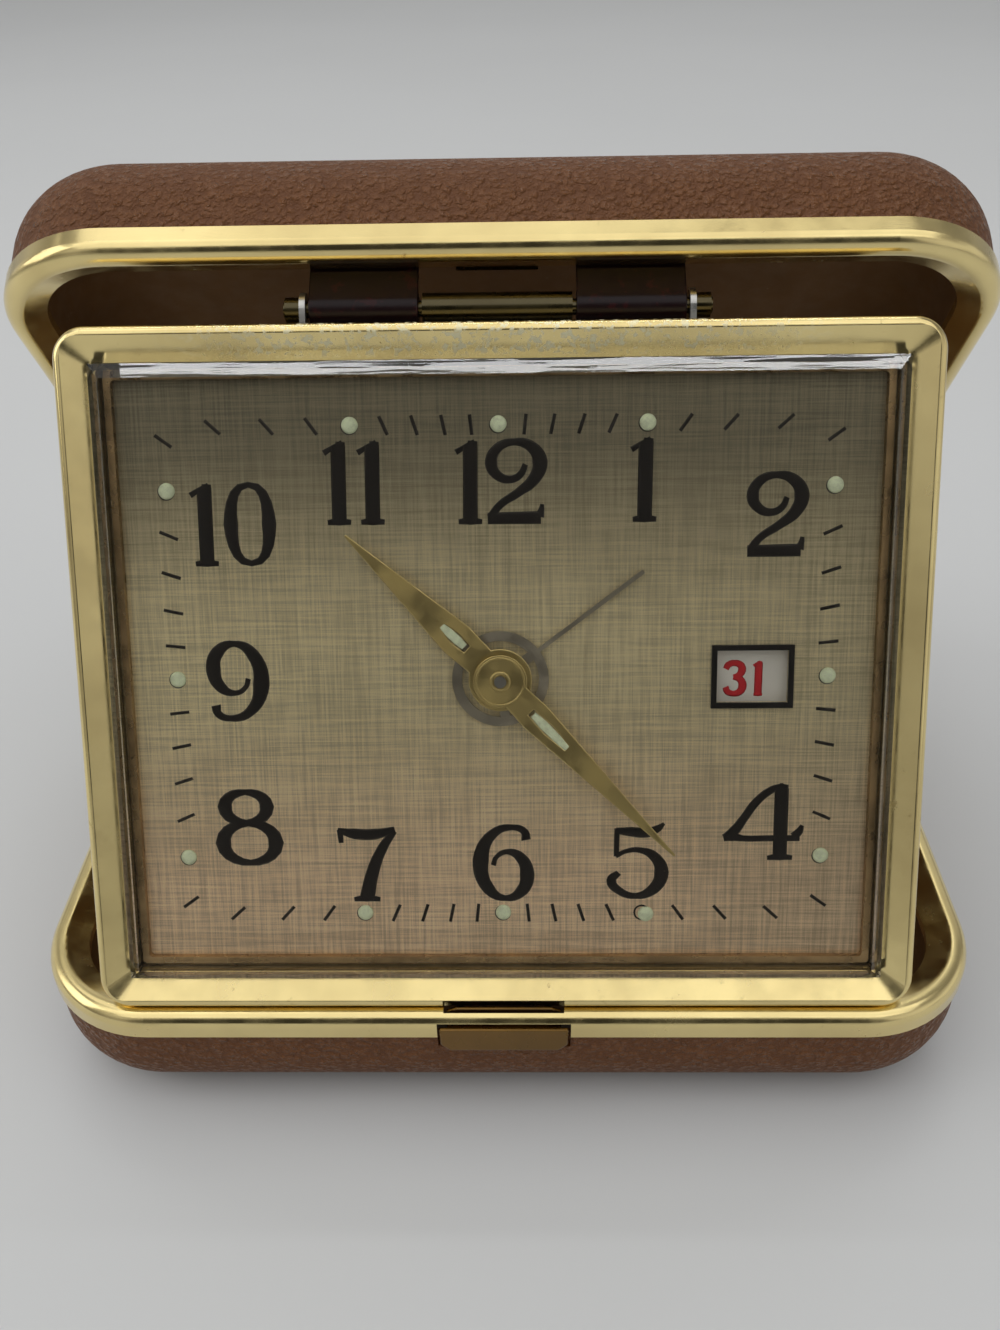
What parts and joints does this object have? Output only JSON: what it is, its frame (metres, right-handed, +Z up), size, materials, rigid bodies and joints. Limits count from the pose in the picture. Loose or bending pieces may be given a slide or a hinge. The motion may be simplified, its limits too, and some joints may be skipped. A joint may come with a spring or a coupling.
{
  "type": "folding travel alarm clock",
  "caption": "Folding travel alarm clock with date window: brass-framed wind-up head hinged in a leather-covered two-part case, its lower edge on the front rim.",
  "frame": {"origin": "centre of the flat underside of the base's leather", "axes": "+X to the right as seen from the dial side, +Y to the rear hinge, +Z up"},
  "size_m": [0.104, 0.0939, 0.0905],
  "materials": {
    "rim_brass": "aged polish",
    "bezel_brass": "polished, lightly tarnished",
    "hinge_brass": "dull",
    "movement_brass": "satin",
    "cover_leather": "pebbled grain",
    "shell_steel": "dark paint",
    "lining_paper": "matte",
    "plate_enamel": "worn dark enamel",
    "steel": "satin",
    "spring_steel": "blued",
    "crystal_clear": "clear",
    "dial_face": "linen pattern",
    "seat_silver": "satin",
    "lume": "matte",
    "window_black": "satin",
    "date_white": "matte",
    "can_metal": "lacquer"
  },
  "bodies": {
    "base": {"base_rim": "rim_brass", "base_leather": "cover_leather", "base_shell": "shell_steel", "base_lining": "lining_paper", "base_hinge_leaf": "hinge_brass", "case_hinge_pin": "steel", "latch_spring": "spring_steel"},
    "latch": {"latch_button": "rim_brass"},
    "lid": {"lid_rim": "rim_brass", "lid_leather": "cover_leather", "lid_shell": "shell_steel", "lid_lining": "lining_paper", "lid_catch": "hinge_brass", "lid_hinge_leaf": "hinge_brass", "head_hinge_plate": "plate_enamel"},
    "head": {"bezel": "bezel_brass", "crystal": "crystal_clear", "movement_can": "can_metal", "head_bracket": "steel", "hinge_rod": "hinge_brass", "rod_sleeve": "bezel_brass", "dial": "dial_face", "dial_seat_frame": "seat_silver", "luminous_dots": "lume", "date_window_frame": "window_black", "date_carrier": "steel", "front_plate": "movement_brass", "back_plate": "movement_brass", "plate_pillars": "steel", "hairspring": "spring_steel", "time_mainspring": "spring_steel", "alarm_mainspring": "spring_steel", "back_cover": "can_metal", "cover_screws": "steel"},
    "minute": {"centre_arbor": "steel", "minute_hand": "bezel_brass", "minute_hand_inlay": "lume", "hand_set_knob": "movement_brass"},
    "hour": {"hour_wheel": "movement_brass", "hour_hand": "bezel_brass", "hour_hand_inlay": "lume"},
    "motion_wheel": {"minute_wheel": "movement_brass"},
    "day": {"day_wheel": "movement_brass"},
    "date": {"date_disc": "date_white"},
    "alarm": {"alarm_wheel": "movement_brass", "alarm_hand": "steel"},
    "alarm_setter": {"alarm_set_arbor": "steel", "alarm_set_knob": "movement_brass"},
    "centre": {"centre_wheel": "movement_brass"},
    "third": {"third_wheel": "movement_brass"},
    "fourth": {"fourth_wheel": "movement_brass"},
    "escape": {"escape_wheel": "movement_brass"},
    "pallet": {"pallet_lever": "steel"},
    "balance": {"balance_wheel": "movement_brass"},
    "going_barrel": {"time_barrel": "movement_brass"},
    "ringing_barrel": {"alarm_barrel": "movement_brass"},
    "winding_key": {"time_key": "movement_brass"},
    "ringing_key": {"alarm_key": "movement_brass"},
    "hammer": {"alarm_hammer": "steel"},
    "stop_lever": {"alarm_stop_lever": "steel"}
  },
  "joints": [
    {"name": "lid_open", "type": "hinge", "parent": "base", "child": "lid", "pos_m": [0, 0.04315, 0.01615], "axis": [-1, 0, 0], "range_deg": [0, 55.8]},
    {"name": "head_fold", "type": "hinge", "parent": "lid", "child": "head", "pos_m": [0, -0.00473, 0.07886], "axis": [1, 0, 0], "range_deg": [0, 61]},
    {"name": "latch_push", "type": "slide", "parent": "base", "child": "latch", "axis": [0, 1, 0], "range_m": [0, 0.0006], "stiffness_N_per_m": 100, "springref_m": -0.0002, "deforming": ["latch_spring"]},
    {"name": "minute_spin", "type": "hinge", "parent": "head", "child": "minute", "pos_m": [0, -0.019, 0.04501], "axis": [0, 0.9048, -0.4258], "continuous": true},
    {"name": "hour_spin", "type": "hinge", "parent": "head", "child": "hour", "pos_m": [0, -0.019, 0.04501], "axis": [0, 0.9048, -0.4258], "continuous": true},
    {"name": "motion_wheel_spin", "type": "hinge", "parent": "head", "child": "motion_wheel", "pos_m": [0, -0.01645, 0.05044], "axis": [0, 0.9048, -0.4258], "continuous": true},
    {"name": "day_spin", "type": "hinge", "parent": "head", "child": "day", "pos_m": [0.0144, -0.019, 0.04501], "axis": [0, 0.9048, -0.4258], "continuous": true},
    {"name": "date_spin", "type": "hinge", "parent": "head", "child": "date", "pos_m": [0, -0.019, 0.04501], "axis": [0, 0.9048, -0.4258], "continuous": true},
    {"name": "alarm_spin", "type": "hinge", "parent": "head", "child": "alarm", "pos_m": [0, -0.019, 0.04501], "axis": [0, 0.9048, -0.4258], "continuous": true},
    {"name": "alarm_setter_spin", "type": "hinge", "parent": "head", "child": "alarm_setter", "pos_m": [-0.00663, -0.02182, 0.03902], "axis": [0, 0.9048, -0.4258], "continuous": true},
    {"name": "centre_spin", "type": "hinge", "parent": "head", "child": "centre", "pos_m": [0, -0.019, 0.04501], "axis": [0, 0.9048, -0.4258], "continuous": true},
    {"name": "third_spin", "type": "hinge", "parent": "head", "child": "third", "pos_m": [0.0045, -0.01568, 0.05207], "axis": [0, 0.9048, -0.4258], "continuous": true},
    {"name": "fourth_spin", "type": "hinge", "parent": "head", "child": "fourth", "pos_m": [-0.00349, -0.01445, 0.0547], "axis": [0, 0.9048, -0.4258], "continuous": true},
    {"name": "escape_spin", "type": "hinge", "parent": "head", "child": "escape", "pos_m": [-0.01058, -0.01498, 0.05357], "axis": [0, 0.9048, -0.4258], "continuous": true},
    {"name": "pallet_rock", "type": "hinge", "parent": "head", "child": "pallet", "pos_m": [-0.01565, -0.01576, 0.05189], "axis": [0, 0.9048, -0.4258], "range_deg": [-5, 5]},
    {"name": "balance_swing", "type": "hinge", "parent": "head", "child": "balance", "pos_m": [-0.02148, -0.01667, 0.04998], "axis": [0, 0.9048, -0.4258], "range_deg": [-140, 140]},
    {"name": "going_barrel_spin", "type": "hinge", "parent": "head", "child": "going_barrel", "pos_m": [0.0063, -0.02365, 0.03514], "axis": [0, 0.9048, -0.4258], "continuous": true},
    {"name": "ringing_barrel_spin", "type": "hinge", "parent": "head", "child": "ringing_barrel", "pos_m": [-0.015, -0.02369, 0.03506], "axis": [0, 0.9048, -0.4258], "continuous": true},
    {"name": "winding_key_spin", "type": "hinge", "parent": "head", "child": "winding_key", "pos_m": [0.0063, -0.02365, 0.03514], "axis": [0, 0.9048, -0.4258], "continuous": true},
    {"name": "ringing_key_spin", "type": "hinge", "parent": "head", "child": "ringing_key", "pos_m": [-0.015, -0.02369, 0.03506], "axis": [0, 0.9048, -0.4258], "continuous": true},
    {"name": "hammer_swing", "type": "hinge", "parent": "head", "child": "hammer", "pos_m": [-0.0255, -0.02134, 0.04004], "axis": [0, 0.9048, -0.4258], "range_deg": [-8, 8]},
    {"name": "stop_lever_turn", "type": "hinge", "parent": "head", "child": "stop_lever", "pos_m": [0.02, -0.01389, 0.05587], "axis": [0, 0.9048, -0.4258], "range_deg": [-25, 25]}
  ],
  "couplings": [
    {"joint": "hour_spin", "follows": "minute_spin", "ratio": 0.083333},
    {"joint": "motion_wheel_spin", "follows": "minute_spin", "ratio": -0.33333},
    {"joint": "day_spin", "follows": "minute_spin", "ratio": -0.041667},
    {"joint": "date_spin", "follows": "minute_spin", "ratio": -0.0013441},
    {"joint": "alarm_setter_spin", "follows": "alarm_spin", "ratio": -4},
    {"joint": "third_spin", "follows": "fourth_spin", "ratio": -0.13333},
    {"joint": "centre_spin", "follows": "fourth_spin", "ratio": 0.016667},
    {"joint": "escape_spin", "follows": "fourth_spin", "ratio": -8},
    {"joint": "going_barrel_spin", "follows": "fourth_spin", "ratio": -0.0027778}
  ]
}
